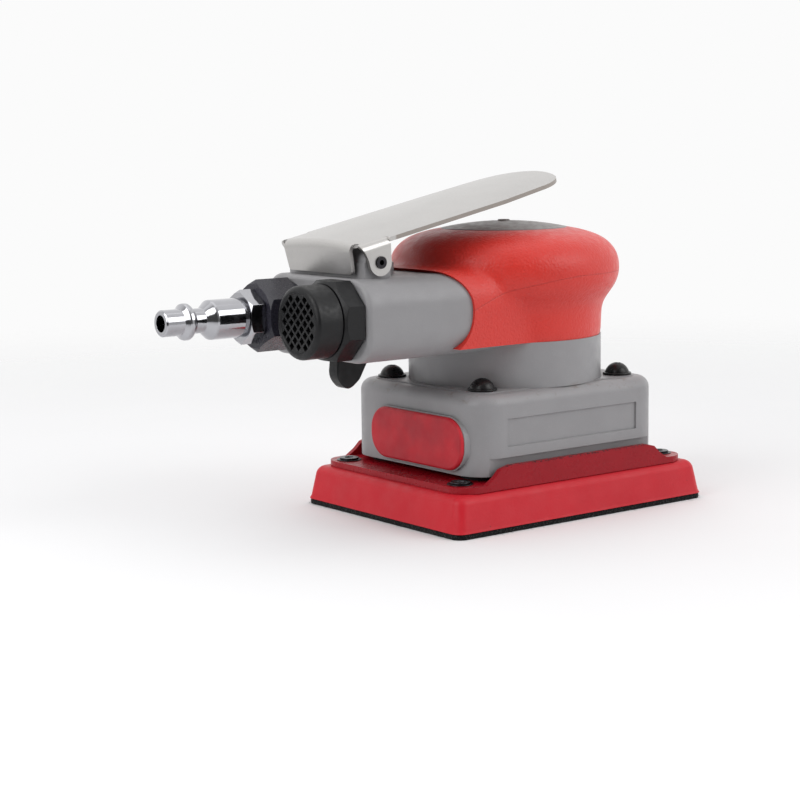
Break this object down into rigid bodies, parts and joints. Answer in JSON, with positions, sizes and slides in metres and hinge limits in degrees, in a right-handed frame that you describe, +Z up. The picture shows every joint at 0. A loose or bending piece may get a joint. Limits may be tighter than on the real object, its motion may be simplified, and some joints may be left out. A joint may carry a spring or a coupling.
{
  "type": "orbital sander",
  "caption": "Palm-grip pneumatic orbital sander: rectangular pad on a flanged plate, round rubber-covered motor head, rear barrel with lever throttle, air plug and muffler.",
  "frame": {"origin": "where the motor axis meets the plane of the pad's working face", "axes": "+X to the front, away from the air plug; +Z up along the motor axis; +Y to the user's left"},
  "size_m": [0.1718, 0.0786, 0.1067],
  "materials": {
    "hook_facing": "hook fabric",
    "pad_urethane": "moulded matt",
    "plate_paint": "gloss enamel",
    "black_steel": "black oxide",
    "cast_aluminium": "machined",
    "bearing_steel": "ground",
    "grey_composite": "fine moulded grain",
    "cover_rubber": "smooth",
    "leg_rubber": "moulded",
    "grip_rubber": "leather grain",
    "cap_plastic": "satin",
    "black_anodised": "anodised",
    "valve_brass": "turned",
    "plug_chrome": "bright plated",
    "black_plastic": "satin",
    "seal_rubber": "smooth",
    "muffler_felt": "felt",
    "spring_steel": "drawn",
    "lever_stainless": "satin",
    "rotor_steel": "ground",
    "vane_laminate": "laminate"
  },
  "bodies": {
    "housing": {"lower_housing": "grey_composite", "port_cover": "cover_rubber", "housing_screws": "black_steel", "screw_washers": "black_steel", "support_legs": "leg_rubber", "motor_housing": "grey_composite", "palm_grip": "grip_rubber", "top_cap": "cap_plastic", "lever_pin": "black_steel", "lock_ring": "cast_aluminium", "inlet_bushing": "black_anodised", "inlet_screen": "valve_brass", "air_plug": "plug_chrome", "muffler_collar": "black_plastic", "muffler_gasket": "seal_rubber", "muffler_cap": "black_plastic", "muffler_felt": "muffler_felt", "valve_bushing": "valve_brass", "valve_seat": "seal_rubber", "valve_spring": "spring_steel", "cylinder_liner": "bearing_steel", "lower_end_plate": "cast_aluminium", "upper_end_plate": "cast_aluminium", "lower_bearing": "bearing_steel", "upper_bearing": "bearing_steel"},
    "lever": {"throttle_lever": "lever_stainless"},
    "plunger": {"valve_plunger": "valve_brass"},
    "regulator": {"speed_regulator": "black_plastic", "regulator_seal": "seal_rubber"},
    "rotor": {"rotor_shaft": "spring_steel", "counterweight": "bearing_steel", "rotor": "rotor_steel", "rotor_vanes": "vane_laminate"},
    "pad": {"pad_facing": "hook_facing", "pad_body": "pad_urethane", "pad_plate": "plate_paint", "pad_washers": "black_steel", "pad_screws": "black_steel", "hub_screws": "black_steel", "leg_screws": "black_steel", "pad_hub": "cast_aluminium", "hub_bearing": "bearing_steel", "hub_retaining_ring": "black_steel"}
  },
  "joints": [
    {"name": "lever_hinge", "type": "hinge", "parent": "housing", "child": "lever", "pos_m": [-0.065, 0, 0.0822], "axis": [0, 1, 0], "range_deg": [0, 7.5], "stiffness_Nm_per_rad": 0.4, "springref_deg": -11.46},
    {"name": "plunger_slide", "type": "slide", "parent": "housing", "child": "plunger", "axis": [0, 0, -1], "range_m": [0, 0.0018], "deforming": ["valve_spring"]},
    {"name": "regulator_turn", "type": "hinge", "parent": "housing", "child": "regulator", "pos_m": [-0.0619, 0, 0.0534], "axis": [0, 0, 1], "range_deg": [-40, 40]},
    {"name": "rotor_spin", "type": "hinge", "parent": "housing", "child": "rotor", "pos_m": [0, 0, 0.06], "axis": [0, 0, 1], "continuous": true},
    {"name": "pad_orbit", "type": "hinge", "parent": "rotor", "child": "pad", "pos_m": [0.00072, 0.00095, 0.02], "axis": [0, 0, 1], "continuous": true}
  ],
  "couplings": [
    {"joint": "plunger_slide", "follows": "lever_hinge", "m_per_rad": 0.0135},
    {"joint": "pad_orbit", "follows": "rotor_spin", "ratio": -1}
  ]
}
